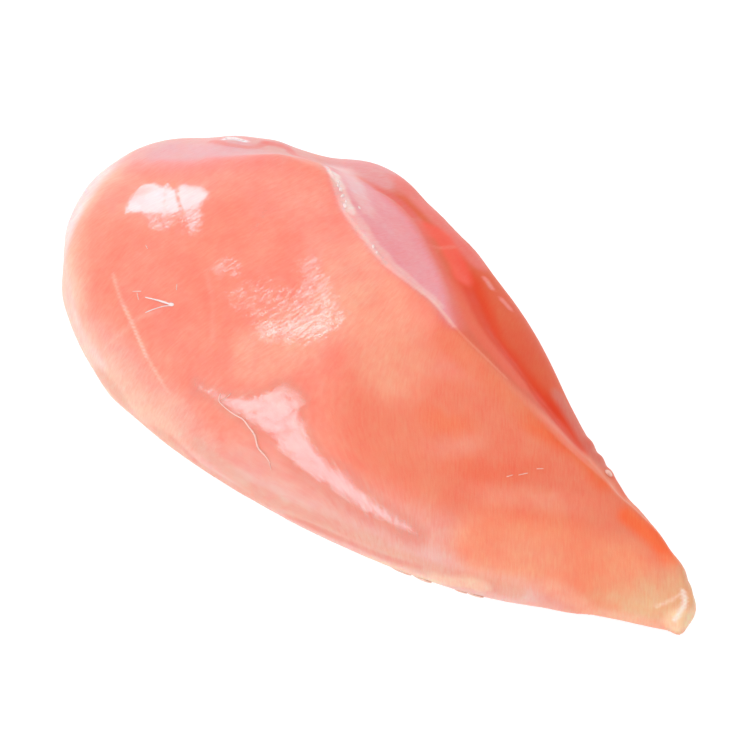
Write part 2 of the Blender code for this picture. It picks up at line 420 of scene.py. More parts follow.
@dataclass(frozen=True)
class Layer:
    """One soft layer of colour, or of juice, on the skin.

    Its value is a hex colour, or the share of the skin that juice covers. Where that is
    below 0 no fibre is wet, and where it is above 1 there are no gaps in the film.
    It is whole up to its width from its line, or past its outline, and fades out over the
    next stretch, its fade. Ragged is how far its border strays, and taper the share of a
    stroke's length over which each end fades.
    """

    value: str | float
    stations: tuple[Station, ...]
    width: float = 1.0
    fade: float = 3.0
    strength: float = 1.0
    area: Area = Area.STROKE
    ragged: float = 0.0
    taper: float = 0.0

    def amount(self) -> np.ndarray:
        """Linear colour of the layer, or its amount of juice three times."""
        return linear(self.value) if isinstance(self.value, str) else np.full(3, self.value)

    def cover(self, skin: Skin, surface: Surface) -> np.ndarray:
        """Work out how much of the layer each point of the skin takes.

        Args:
            skin: points to be painted.
            surface: the skin that lines are laid on.

        Returns:
            Numbers from 0 to 1.
        """
        if self.area is Area.STROKE:
            limit = self.width + self.fade + self.ragged * 2.0
            distance, share = skin.reach(surface.trail(self.stations), limit)
            turned = np.ones(len(distance))
        else:
            distance = plan_distance(skin.places, curve_through(self.stations, 2.0))
            # An outline holds for one side of the fillet, and fades where the skin turns away
            upward = skin.facing[:, 2] * (1.0 if self.area is Area.PATCH else -1.0)
            turned = smooth_step(-0.5, 0.1, upward)
        if self.ragged:
            near = np.flatnonzero(np.abs(distance) < self.width + self.fade + self.ragged * 2.0)
            distance[near] += self.ragged * lumps(skin.places[near], 3.0, len(self.stations), 3)
        cover = 1.0 - smooth_step(self.width, self.width + self.fade, distance)
        if self.taper and self.area is Area.STROKE:
            cover *= smooth_step(0.0, self.taper, share) * smooth_step(0.0, self.taper, 1.0 - share)
        return cover * turned * self.strength


def lay_over(base: np.ndarray, layers: list[Layer], skin: Skin, surface: Surface) -> np.ndarray:
    """Lay soft layers over an even base, the first one lowest.

    Args:
        base: three numbers, the same all over.
        layers: what is laid on it.
        skin: points to be painted.
        surface: the skin that lines are laid on.

    Returns:
        Three numbers for each point.
    """
    mixed = np.tile(base, (len(skin.places), 1))
    for layer in layers:
        cover = layer.cover(skin, surface)[:, None]
        mixed = mixed * (1.0 - cover) + layer.amount() * cover
    return mixed


@dataclass(frozen=True)
class Welt:
    """Low rounded rise along a line on the skin, or a groove where its height is negative."""

    stations: tuple[Station, ...]
    height: float
    width: float

    def rise(self, skin: Skin, surface: Surface) -> np.ndarray:
        """Height that the welt adds at each point.

        Args:
            skin: points of the skin.
            surface: the skin that the line is laid on.

        Returns:
            Heights in millimetres.
        """
        distance, share = skin.reach(surface.trail(self.stations), self.width * 2.5)
        ends = smooth_step(0.0, 0.15, share) * smooth_step(0.0, 0.15, 1.0 - share)
        far = distance >= self.width * 2.5
        return np.where(far, 0.0, self.height * np.exp(-(distance / self.width) ** 2) * ends)


@dataclass(frozen=True)
class Hollow:
    """Shallow oval hollow in the upper skin, or a swelling where its depth is negative."""

    centre: Station
    depth: float
    length: float
    width: float
    turn: float = 0.0

    def rise(self, skin: Skin, surface: Surface) -> np.ndarray:
        """Height that the hollow takes away at each point.

        Args:
            skin: points of the skin.
            surface: not needed, as a hollow is placed from above.

        Returns:
            Heights in millimetres.
        """
        gap = skin.places[:, :2] - np.array(self.centre)
        angle = math.radians(self.turn)
        along = gap @ np.array([math.cos(angle), math.sin(angle)])
        across = gap @ np.array([-math.sin(angle), math.cos(angle)])
        bowl = np.exp(-(along / self.length) ** 2 - (across / self.width) ** 2)
        on_top = skin.facing[:, 2] > -0.3
        return np.where(on_top, -self.depth * bowl, 0.0)


@dataclass(frozen=True)
class RawFlesh:
    """Raw chicken muscle, boned and skinned with a knife and wet with its own juice.

    Light sinks a few millimetres into it and comes out pink, so edges glow and small
    dents look soft. A film of juice over fine fibres gives sharp but broken highlights.
    Fibres are about 0.05 mm thick, too fine to show, so they are drawn as coarse as the
    bundles that they form. Sizes are in millimetres, and the variations are the least and
    the most of what they change.
    """

    glow: float = 0.7
    glow_depth: float = 3.0
    glow_reach: tuple[float, float, float] = (1.0, 0.3, 0.17)
    fibre_spacing: float = 0.5
    fibre_stretch: float = 5.0
    fibre_relief: float = 0.028
    fibre_variation: tuple[float, float] = (0.9, 1.1)
    grain_size: float = 0.4
    grain_relief: float = 0.02
    cloud_size: float = 9.0
    cloud_variation: tuple[float, float] = (0.88, 1.12)
    matt_roughness: tuple[float, float] = (0.36, 0.5)
    # Above the 1.33 of water, so that lights too weak to bleach the flesh still show in it
    film_ior: float = 2.1
    film_roughness: float = 0.12
    film_breakup: float = 1.9

    def material(self) -> bpy.types.Material:
        """Build the material.

        Returns:
            A material that reads the skin's painted colour and juice and its fibres' run.
        """
        material, tree, shader = new_material("raw_chicken_flesh")
        shader.inputs["Subsurface Weight"].default_value = self.glow
        shader.inputs["Subsurface Radius"].default_value = self.glow_reach
        shader.inputs["Subsurface Scale"].default_value = self.glow_depth * MM
        shader.inputs["IOR"].default_value = 1.4
        shader.inputs["Specular IOR Level"].default_value = 0.25
        shader.inputs["Coat Roughness"].default_value = self.film_roughness
        shader.inputs["Coat IOR"].default_value = self.film_ior
        painted = add_node(tree, "ShaderNodeAttribute", {"attribute_name": "flesh_colour"})
        juice = add_node(tree, "ShaderNodeAttribute", {"attribute_name": "juice"})
        fibres = add_node(tree, "ShaderNodeAttribute", {"attribute_name": "fibre_run"})
        place = add_node(tree, "ShaderNodeTexCoord")

        across, along = 1.0 / self.fibre_spacing, 1.0 / (self.fibre_spacing * self.fibre_stretch)
        strands = add_node(
            tree, "ShaderNodeMapping", {"Scale": (across, along, along)},
            {"Vector": fibres.outputs["Vector"]})
        fine = add_node(
            tree, "ShaderNodeTexNoise",
            {"Scale": 1.0, "Detail": 2.5, "Roughness": 0.6, "Distortion": 0.35},
            {"Vector": strands.outputs["Vector"]})
        grain = add_node(
            tree, "ShaderNodeTexNoise",
            {"Scale": 1.0 / (self.grain_size * MM), "Detail": 2.0, "Roughness": 0.6},
            {"Vector": place.outputs["Object"]})
        mottle = add_node(
            tree, "ShaderNodeTexNoise",
            {"Scale": 1.0 / (self.cloud_size * MM), "Detail": 4.0, "Roughness": 0.6},
            {"Vector": place.outputs["Object"]})

        # Fibres and mottling turn the colour a little paler or redder
        least, most = self.fibre_variation
        streaks = add_node(
            tree, "ShaderNodeMapRange",
            {"From Min": NOISE_LOW, "From Max": NOISE_HIGH, "To Min": least, "To Max": most},
            {"Value": fine.outputs["Fac"]})
        least, most = self.cloud_variation
        clouds = add_node(
            tree, "ShaderNodeMapRange",
            {"From Min": NOISE_LOW, "From Max": NOISE_HIGH, "To Min": least, "To Max": most},
            {"Value": mottle.outputs["Fac"]})
        both = add_node(
            tree, "ShaderNodeMath", {"operation": "MULTIPLY"},
            {0: streaks.outputs["Result"], 1: clouds.outputs["Result"]})
        tint = add_node(
            tree, "ShaderNodeCombineXYZ", {"X": 1.0},
            {"Y": both.outputs["Value"], "Z": both.outputs["Value"]})
        colour = add_node(
            tree, "ShaderNodeVectorMath", {"operation": "MULTIPLY"},
            {0: painted.outputs["Color"], 1: tint.outputs["Vector"]})
        tree.links.new(colour.outputs["Vector"], shader.inputs["Base Color"])

        least, most = self.matt_roughness
        dryness = add_node(
            tree, "ShaderNodeMapRange",
            {"From Min": 0.35, "From Max": 0.65, "To Min": least, "To Max": most},
            {"Value": mottle.outputs["Fac"]})
        tree.links.new(dryness.outputs["Result"], shader.inputs["Roughness"])

        # The film of juice thins out between fibres and grains, so its edges are ragged.
        # Where the two patterns add up to 1, their average, it is as whole as the juice says.
        gaps = add_node(
            tree, "ShaderNodeMath", {"operation": "ADD"},
            {0: fine.outputs["Fac"], 1: grain.outputs["Fac"]})
        film = add_node(
            tree, "ShaderNodeMath", {"operation": "MULTIPLY_ADD", 1: self.film_breakup},
            {0: gaps.outputs["Value"], 2: juice.outputs["Fac"]})
        wet = add_node(
            tree, "ShaderNodeMapRange",
            {"From Min": self.film_breakup, "From Max": self.film_breakup + 1.0},
            {"Value": film.outputs["Value"]})
        tree.links.new(wet.outputs["Result"], shader.inputs["Coat Weight"])

        ribs = add_node(
            tree, "ShaderNodeBump", {"Strength": 1.0, "Distance": self.fibre_relief * MM},
            {"Height": fine.outputs["Fac"]})
        pores = add_node(
            tree, "ShaderNodeBump", {"Strength": 1.0, "Distance": self.grain_relief * MM},
            {"Height": grain.outputs["Fac"], "Normal": ribs.outputs["Normal"]})
        tree.links.new(pores.outputs["Normal"], shader.inputs["Normal"])
        tree.links.new(pores.outputs["Normal"], shader.inputs["Coat Normal"])
        return material


@dataclass
class Fillet:
    """The muscle itself: an even mesh over the solid, given its relief and its colours.

    Its faces are as wide as the grid. Points lower than flat belong to the underside, and
    the relief grows from its rim up to the rim's height, where it is whole.
    """

    grid: float = 0.75
    merge: float = 0.001
    flat: float = 0.05
    rim_height: float = 2.0
    unevenness: float = 0.1
    uneven_size: float = 16.0
    bundle_relief: float = 0.03
    bundle_width: float = 2.6
    bundle_length: float = 22.0
    body_colour: str = "f88f79"
    body_juice: float = -0.5

    def even_mesh(self) -> bpy.types.Object:
        """Copy the solid's mesh and give it one even, smooth grid of faces.

        Returns:
            The skin as a new object.
        """
        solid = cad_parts[SOLID_NAME]
        skin = bpy.data.objects.new("fillet", solid.data.copy())
        bpy.context.scene.collection.objects.link(skin)
        skin.data.materials.clear()
        select_only(skin)
        bpy.ops.object.mode_set(mode="EDIT")
        bpy.ops.mesh.select_all(action="SELECT")
        bpy.ops.mesh.remove_doubles(threshold=self.merge * MM)
        bpy.ops.mesh.tris_convert_to_quads()
        bpy.ops.object.mode_set(mode="OBJECT")
        self.crease_underside(skin.data)
        apply_modifier(skin, "SUBSURF", levels=2, render_levels=2)
        apply_modifier(skin, "REMESH", mode="VOXEL", voxel_size=self.grid * MM)
        apply_modifier(skin, "SMOOTH", factor=0.5, iterations=6)
        return skin

    def crease_underside(self, mesh: bpy.types.Mesh) -> None:
        """Keep the rim of the flat underside where it is while the mesh is rounded.

        Args:
            mesh: skin's mesh, with its corners merged.
        """
        crease = mesh.attributes.new("crease_edge", "FLOAT", "EDGE")
        for edge in mesh.edges:
            low = all(mesh.vertices[corner].co.z < self.merge * MM for corner in edge.vertices)
            crease.data[edge.index].value = 1.0 if low else 0.0

    def forms(self) -> list[Welt | Hollow]:
        """List the rises, grooves and hollows of the skin.

        Returns:
            One entry for each form, in no special order.
        """
        return [
            # The plump end: a flattened shoulder below a crest, and a lip beyond it
            Hollow((-66.5, -7.5), 1.2, 12.0, 8.0, 38.0),
            Welt(PLUMP_CREST, 1.0, 4.5),
            Hollow((-70.0, 22.0), -1.1, 8.0, 6.0, 40.0),
            Hollow((-62.0, 28.5), -0.7, 4.0, 4.0),
            Hollow((-50.0, 36.0), 0.8, 5.0, 5.0),
            # The rounded end is flatter at one place and fuller at two
            Hollow((-88.5, -15.0), 1.0, 7.0, 5.0, -60.0),
            Hollow((-79.6, -32.9), -0.6, 5.0, 5.0),
            Hollow((-51.3, -46.6), -0.6, 6.0, 4.0),
            # The ridge, the silver skin's edge and the valley of the cut flank
            Welt(RIDGE[:9], 0.18, 1.2),
            Welt(SILVER_EDGE, 0.3, 1.3),
            Welt(VALLEY, -0.5, 2.6),
            Welt(FOLD, -0.35, 1.3),
            Hollow((-26.5, 43.9), 0.6, 5.0, 4.0),
            Hollow((-6.8, 41.3), -0.5, 6.0, 4.0),
            Hollow((49.8, 16.2), -0.6, 1.6, 1.6),
            Hollow((54.2, 14.8), -0.6, 1.4, 1.4),
            Hollow((58.2, 13.0), -0.6, 1.4, 1.4),
            # Fine grooves and lines of the near side
            Welt(CREASE, -0.15, 1.1),
            Welt(PINK_LINE, -0.3, 1.1),
            Welt(CROSSING, 0.2, 0.8),
            Welt(CROSSING_BACK, 0.15, 0.8),
            # The tip narrows beside the ridge's end, and ends in a thin flap with a squarish corner
            Hollow((65.5, 10.0), 1.0, 4.0, 4.0),
            Hollow((72.0, 7.6), 0.7, 4.0, 4.0),
            Hollow((86.5, 4.2), -0.9, 3.5, 3.5),
            Hollow((71.6, -18.9), -0.5, 6.0, 4.0),
            Hollow((94.8, -6.2), -1.2, 1.8, 1.8),
            Welt(((90.0, 3.4), (92.6, 0.8), (94.2, -2.4), (94.4, -5.0)), 0.35, 0.9),
        ]

    def sculpt(self, skin: bpy.types.Object) -> None:
        """Move the skin's points to give it its relief, with the underside kept flat.

        Args:
            skin: the fillet's even mesh.
        """
        points = Skin.of(skin.data)
        surface = Surface(skin)
        rise = self.unevenness * lumps(points.places, self.uneven_size, 1, 2)
        bundle = np.array([self.bundle_width, self.bundle_length, self.bundle_length])
        rise += self.bundle_relief * lumps(points.along_fibres() / bundle, 1.0, 2, 2)
        for form in self.forms():
            rise += form.rise(points, surface)
        on_floor = points.places[:, 2] < self.flat
        rise = np.where(on_floor, 0.0, rise * smooth_step(0.0, self.rim_height, points.places[:, 2]))
        moved = points.places + points.facing * rise[:, None]
        moved[:, 2] = np.maximum(moved[:, 2], 0.0)
        skin.data.vertices.foreach_set("co", (moved * MM).ravel())
        skin.data.update()

    def colours(self) -> list[Layer]:
        """List the colours of the skin, the first one lowest.

        Returns:
            One entry for each patch or stroke.
        """
        patch = {"area": Area.PATCH}
        band = {"width": 0.6, "fade": 4.0, "ragged": 1.2, "taper": 0.35}
        return [
            # The underside is paler, with a broad tendon down its middle
            Layer("f3a594", UNDERSIDE, 0.0, 6.0, area=Area.UNDERSIDE),
            Layer("f2c3b8", TENDON, 0.0, 3.0, 0.6, area=Area.UNDERSIDE, ragged=1.5),
            # The top is redder beside the ridge, and yellower where it thins out
            Layer("f89684", ((-58.0, 6.0), (-46.0, 12.0), (-34.0, 14.0), (-22.0, 9.0)), 5.0, 9.0, 0.7),
            Layer("f78a72", ((-52.0, -4.0), (-44.0, -14.0), (-38.0, -24.0)), 4.0, 9.0, 0.6),
            # Paler across the middle of the top, under the sheen and below it, partly painted sheen
            Layer("f4a38b", ((-16.0, 6.0), (-14.0, -8.0), (-20.0, -24.0)), 3.0, 8.0, 0.8),
            Layer("ee8466", ((18.0, -12.0), (45.0, -9.0), (66.0, -6.0), (80.0, -3.0)), 12.0, 16.0),
            # The near side turns pale pink towards the rim that it rests on, partly a paler membrane and
            # partly painted glow of light through the thin edge
            Layer("eea596", NEAR_RIM, 10.0, 9.0, 0.8),
            Layer("eeb4a8", NEAR_RIM, 3.5, 6.0, 0.9),
            # Painted glow along the plump end's thin rim and edge, where light comes through
            Layer("f5bba2", LEFT_RIM_GLOW, 6.0, 14.0, 0.9),
            Layer("fbcfc8", LEFT_EDGE_GLOW, 2.0, 4.0, 0.9),
            Layer("f0bfaa", ((-80.0, -33.5), (-74.0, -38.5), (-62.0, -45.0), (-50.0, -47.8)), 4.0, 9.0, 0.9),
            Layer("eaa690", NEAR_RIM, 1.5, 2.4, 0.8),
            Layer("eaa694", TAN_LINE, 1.0, 2.4, 0.8),
            Layer("e88c80", PINK_LINE, 0.2, 1.4, 0.5),
            # Painted darker and less red under the long glare, so that the highlight over it comes out
            # pinkish
            Layer("e68f7c", WET_SIDE, 0.0, 3.0, 0.7, **patch),
            # Soft bands cross the thin half between bundles of fibres
            Layer("f3a486", ((-6.0, 2.0), (2.0, -3.0), (8.0, -8.0)), 4.0, 8.0, 0.6),
            Layer("f19580", ((11.6, -4.7), (15.5, -0.1), (21.5, 4.0), (27.9, 7.0)), **band, strength=0.5),
            Layer("f2784f", ((17.0, -13.5), (21.2, -11.0), (25.0, -9.6), (28.4, -7.9), (33.0, -4.5)),
                  **band, strength=0.6),
            Layer("f19a84", ((22.0, -18.0), (28.1, -15.7), (31.8, -10.4), (36.0, -4.5)),
                  **band, strength=0.5),
            Layer("f07452", ((24.6, -19.5), (36.4, -14.1), (42.2, -9.9), (51.5, 3.4)),
                  **band, strength=0.5),
            Layer("f49c80", ((36.0, -20.5), (45.5, -14.0), (52.0, -8.7), (64.8, 0.4)),
                  **band, strength=0.6),
            Layer("f57e56", ((46.0, -20.0), (54.3, -13.4), (59.8, -8.8), (67.4, -2.9)),
                  **band, strength=0.4),
            Layer("f99872", ((50.0, -24.0), (58.5, -18.5), (66.0, -13.9), (78.0, -7.6)), 4.0, 8.0, 0.8),
            Layer("f26e42", ((40.0, 5.5), (47.0, 7.2), (53.0, 8.0), (60.0, 7.4)), 1.2, 4.0, 0.8),
            Layer("fd6c34", ((70.0, 4.6), (74.0, 5.0), (79.0, 5.0), (84.0, 3.6)), 0.8, 3.2, 0.75),
            # The tip is thin, and yellowish with fat
            Layer("eab088", TIP_CREAM, -4.5, 10.0, 0.95, ragged=1.5, **patch),
            Layer("f8ae92", ((66.0, -20.5), (74.0, -17.6), (82.0, -14.0), (91.0, -9.5)), 0.6, 3.0, 0.6),
            Layer("fdd3ac", ((96.0, 0.0), (95.6, -4.0), (93.6, -7.4)), 1.5, 2.5, 0.8),
            # Painted highlight: a pale crescent at the tip's end
            Layer("fbe8de", PAINTED_CRESCENT_GLINT, 0.15, 0.8, 0.9),
            Layer("f9d8c0", ((88.4, -7.4), (89.4, -5.6), (90.3, -3.6), (90.8, -1.9)), 0.0, 0.7, 0.6),
            # A pale tan facet lies inside the ridge
            Layer("ee805c", ((12.0, 8.0), (19.6, 6.8), (27.9, 7.0), (37.5, 6.5)), 2.2, 3.5, 0.7),
            # The far side of the plump end is pale lilac, partly a film and partly painted sheen where the
            # skin turns away, with a red border
            Layer("eaa49e", LILAC_SHEEN_BAND, -5.0, 10.0, **patch),
            Layer("e6a2a4", ((-80.0, 8.0), (-72.0, 10.0), (-64.0, 16.0)), 4.0, 5.0, 0.8),
            Layer("ea8278", ((-74.0, 17.5), (-69.0, 17.6), (-64.3, 19.5), (-62.5, 22.0), (-63.3, 25.8)),
                  0.4, 1.4, 0.7),
            Layer("ee6f68", ((-62.4, 26.1), (-58.7, 29.1), (-55.1, 28.0), (-52.0, 30.1)), 0.6, 1.8, 0.6),
            # Painted highlight: a pale glint along a strip of film
            Layer("f9eeee", PAINTED_GLINT, 0.5, 0.8, 0.9),
            Layer("f28072", PLUMP_CREST, 1.0, 5.0, 0.6),
            # Cut flank, deep red, with painted shade in its valley and brighter beside the silver skin
            Layer("e46240", FLANK, -1.6, 3.6, **patch),
            Layer("e64014", PAINTED_VALLEY_SHADE, 1.8, 4.2, 0.9),
            Layer("ee6242", ((0.0, 24.5), (6.0, 20.4), (12.0, 17.0), (18.0, 14.9), (24.0, 13.8),
                             (30.0, 13.2)), 1.2, 3.0, 0.8),
            Layer("e89c9c", SHOULDER_FILM, -3.0, 7.0, 0.9, ragged=1.0, **patch),
            Layer("ef7f78", SHOULDER_EDGE, 1.5, 3.5, 0.8),
            Layer("e47c80", FOLD, 0.4, 2.0, 0.6),
            Layer("fa6250", ((-17.1, 35.1), (-14.2, 36.3), (-10.2, 35.0), (-5.0, 32.4), (-1.3, 29.6)),
                  1.4, 3.0, 0.9),
            Layer("f58a7a", ((-13.0, 30.6), (-11.0, 32.5), (-9.4, 36.4)), 0.1, 1.0, 0.5),
            Layer("da7e70", ((37.2, 20.3), (44.2, 17.7), (49.8, 15.3), (56.0, 13.4)), 1.0, 2.6, 0.7),
            # Two small membrane bits at the flank's outer edge, painted pale as glints
            Layer("f29a92", ((2.4, 34.6), (5.4, 33.4)), 0.3, 1.0, 0.7),
            Layer("f29a92", ((9.4, 32.5), (12.4, 31.9)), 0.3, 1.0, 0.7),
            # Silver skin and the fat along the ridge
            Layer("ec7468", SILVER_EDGE, 2.0, 4.0, 0.8),
            Layer("f09aa0", SILVER, -1.4, 3.6, **patch),
            Layer("f6c4c4", ((-45.8, 34.8), (-38.4, 30.5), (-33.4, 26.9), (-28.3, 24.2)),
                  1.0, 4.5, 0.6, ragged=1.2),
            Layer("f8c0b8", RIDGE_FAT, 0.4, 1.8, 0.6, ragged=0.8),
            # Whiter fat at the head of the ridge, partly a painted glint
            Layer("ffe2da", RIDGE_FAT[:3], 0.2, 1.4, 0.65, ragged=1.0),
            Layer("fccabe", RIDGE[:8], 0.1, 1.1, 0.6),
            Layer("f9a98c", ((8.0, 11.6), (14.0, 10.5), (22.0, 10.0), (28.0, 9.8)), 0.0, 0.8, 0.4),
            # Pale lines where fine tendons cross below the surface
            Layer("fbc0ac", CROSSING, 0.0, 0.8, 0.5),
            Layer("fbc0ac", CROSSING_BACK, 0.0, 0.9, 0.3),
            Layer("fcc6b6", CROSSING[2:6], 0.0, 0.6, 0.5),
            Layer("f9b3a2", CREASE, 0.0, 1.0, 0.2),
            Layer("f6c6aa", CREAM_RIM, 1.0, 2.2, 0.8, ragged=0.8),
        ]

    def juices(self) -> list[Layer]:
        """List where the skin is wetter or drier than most of it.

        Returns:
            One entry for each patch or stroke.
        """
        patch = {"area": Area.PATCH}
        return [
            # The fat at the head of the ridge
            Layer(0.8, RIDGE[:5], 0.2, 1.2),
            # The glare on the plump shoulder, with two breaks across it
            Layer(0.35, DAMP_SHOULDER, -2.0, 4.0, **patch),
            Layer(0.6, WET_LOBE, -1.6, 3.0, ragged=0.4, **patch),
            Layer(1.4, WET_SHOULDER, -1.8, 3.2, ragged=0.3, **patch),
            Layer(0.7, ((-70.4, -3.0), (-69.1, -5.0), (-64.8, -9.4), (-62.8, -11.4)), 0.2, 0.8, ragged=0.2),
            Layer(0.15, ((-69.5, 0.6), (-68.7, -0.2), (-65.1, -4.7), (-60.8, -7.8), (-55.1, -13.4)),
                  0.2, 0.8, ragged=0.25),
            # The long glare on the near side
            Layer(1.0, WET_SIDE, -1.8, 3.6, ragged=0.6, **patch),
            # The broken sheen in the middle of the top, and two faint ones beside it
            Layer(0.06, DAMP_MIDDLE, -2.0, 5.0, ragged=1.0, **patch),
            Layer(0.32, WET_FAN, -3.0, 6.0, ragged=1.0, **patch),
            Layer(0.5, WET_MIDDLE, -3.0, 6.0, ragged=0.8, **patch),
            Layer(0.3, ((-42.4, -15.5), (-41.3, -12.0), (-39.0, -12.6)), 0.6, 3.0),
            Layer(0.25, ((-44.4, 7.0), (-44.0, 4.5), (-43.3, 1.4), (-42.0, -1.5)), 0.0, 1.6),
        ]

    def paint(self, skin: bpy.types.Object) -> None:
        """Give each point of the skin its colour, its juice and its place along the fibres.

        Args:
            skin: the fillet's finished mesh.
        """
        points = Skin.of(skin.data)
        surface = Surface(skin)
        colours = lay_over(linear(self.body_colour), self.colours(), points, surface)
        layer = skin.data.attributes.new("flesh_colour", "FLOAT_COLOR", "POINT")
        layer.data.foreach_set("color", np.hstack([colours, np.ones((len(colours), 1))]).ravel())
        juices = lay_over(np.full(3, self.body_juice), self.juices(), points, surface)
        film = skin.data.attributes.new("juice", "FLOAT", "POINT")
        film.data.foreach_set("value", np.ascontiguousarray(juices[:, 0]))
        run = skin.data.attributes.new("fibre_run", "FLOAT_VECTOR", "POINT")
        run.data.foreach_set("vector", points.along_fibres().ravel())

    def build(self) -> bpy.types.Object:
        """Make the fillet and dress it.

        Returns:
            The finished piece, in place of the solid.
        """
        skin = self.even_mesh()
        self.sculpt(skin)
        self.paint(skin)
        select_only(skin)
        bpy.ops.object.shade_smooth()
        skin.data.materials.append(RawFlesh().material())
        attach(skin, "root")
        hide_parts(SOLID_NAME)
        return skin


@dataclass(frozen=True)
class Tissue:
    """Collagen or fat that the knife left on the muscle.

    Both are whiter than the muscle, too thin to glow, and juice makes them glisten.
    """

    name: str
    colour: str
    roughness: float = 0.3
    film_roughness: float = 0.1
    clump_size: float = 0.8
    clump_relief: float = 0.05
    clump_variation: tuple[float, float] = (0.9, 1.05)

    def material(self) -> bpy.types.Material:
        """Build the material.

        Returns:
            A material with small clumps in its colour and on its surface.
        """
        material, tree, shader = new_material(self.name)
        shader.inputs["Roughness"].default_value = self.roughness
        shader.inputs["Coat Weight"].default_value = 1.0
        shader.inputs["Coat Roughness"].default_value = self.film_roughness
        place = add_node(tree, "ShaderNodeTexCoord")
        clumps = add_node(
            tree, "ShaderNodeTexNoise",
            {"Scale": 1.0 / (self.clump_size * MM), "Detail": 2.0},
            {"Vector": place.outputs["Object"]})
        least, most = self.clump_variation
        shade = add_node(
            tree, "ShaderNodeMapRange",
            {"From Min": NOISE_LOW, "From Max": NOISE_HIGH, "To Min": least, "To Max": most},
            {"Value": clumps.outputs["Fac"]})
        colour = add_node(
            tree, "ShaderNodeVectorMath", {"operation": "SCALE", 0: tuple(linear(self.colour))},
            {"Scale": shade.outputs["Result"]})
        bumps = add_node(
            tree, "ShaderNodeBump", {"Strength": 1.0, "Distance": self.clump_relief * MM},
            {"Height": clumps.outputs["Fac"]})
        tree.links.new(colour.outputs["Vector"], shader.inputs["Base Color"])
        tree.links.new(bumps.outputs["Normal"], shader.inputs["Normal"])
        return material


@dataclass(frozen=True)
class Strand:
    """Thin thread of tissue that lies on the skin and thins out towards its ends."""

    stations: tuple[Station, ...]
    radius: float
    lift: float = 0.0
    step: float = 0.6

    def build(self, surface: Surface) -> bpy.types.Object:
        """Draw the thread out from one point along the skin, then give it its thickness.

        Args:
            surface: the skin that it lies on.

        Returns:
            The thread.
        """
        spots = surface.trail(self.stations, self.step, self.lift) * MM
        bpy.ops.mesh.primitive_plane_add(size=self.radius * MM, location=Vector(spots[0]))
        thread = bpy.context.active_object
        bpy.ops.object.mode_set(mode="EDIT")
        bpy.ops.mesh.merge(type="CENTER")
        for stretch in np.diff(spots, axis=0):
            bpy.ops.mesh.extrude_vertices_move(TRANSFORM_OT_translate={"value": Vector(stretch)})
        bpy.ops.object.mode_set(mode="OBJECT")
        bpy.ops.object.transform_apply(location=True, rotation=True, scale=True)
        thread.modifiers.new("thickness", "SKIN")
        rounds = thread.data.skin_vertices[0].data
        for number, ring in enumerate(rounds):
            share = number / (len(rounds) - 1)
            # It swells and shrinks by up to a quarter along its length
            uneven = 1.0 + 0.25 * math.sin(7.0 * share + 11.0 * self.radius)
            radius = self.radius * uneven * (0.35 + 0.65 * math.sin(math.pi * share) ** 0.5) * MM
            ring.radius = (radius, radius)
        rounds[0].use_root = True
        bpy.ops.object.modifier_apply(modifier="thickness")
        apply_modifier(thread, "SUBSURF", levels=1, render_levels=1)
        return thread


@dataclass(frozen=True)
class Bead:
    """Small soft lump of fat or tissue, half sunk in the skin.

    It sits on the upper skin, or beside the fillet where it has a height.
    """

    spot: Station
    radius: float
    stretch: float = 1.0
    turn: float = 0.0
    flatness: float = 0.6
    height: float | None = None

    def build(self, surface: Surface) -> bpy.types.Object:
        """Squash and crumple a ball, and set it on the skin.

        Args:
            surface: the skin that it sits in.

        Returns:
            The lump.
        """
        if self.height is None:
            place, facing = surface.drop(self.spot)
        else:
            place, facing = surface.beside(self.spot, self.height)
        bpy.ops.mesh.primitive_ico_sphere_add(subdivisions=3, radius=self.radius * MM)
        lump = bpy.context.active_object
        bpy.ops.object.mode_set(mode="EDIT")
        bpy.ops.transform.resize(value=(self.stretch, 1.0, self.flatness))
        bpy.ops.transform.vertex_random(offset=0.15 * self.radius * MM, seed=int(abs(self.spot[0]) * 10.0))
        bpy.ops.mesh.vertices_smooth(factor=0.5, repeat=2)
        bpy.ops.object.mode_set(mode="OBJECT")
        lump.rotation_euler = (facing.to_track_quat("Z", "Y").to_matrix()
                               @ Matrix.Rotation(math.radians(self.turn), 3, "Z")).to_euler()
        lump.location = place * MM
        bpy.ops.object.transform_apply(location=True, rotation=True, scale=True)
        return lump


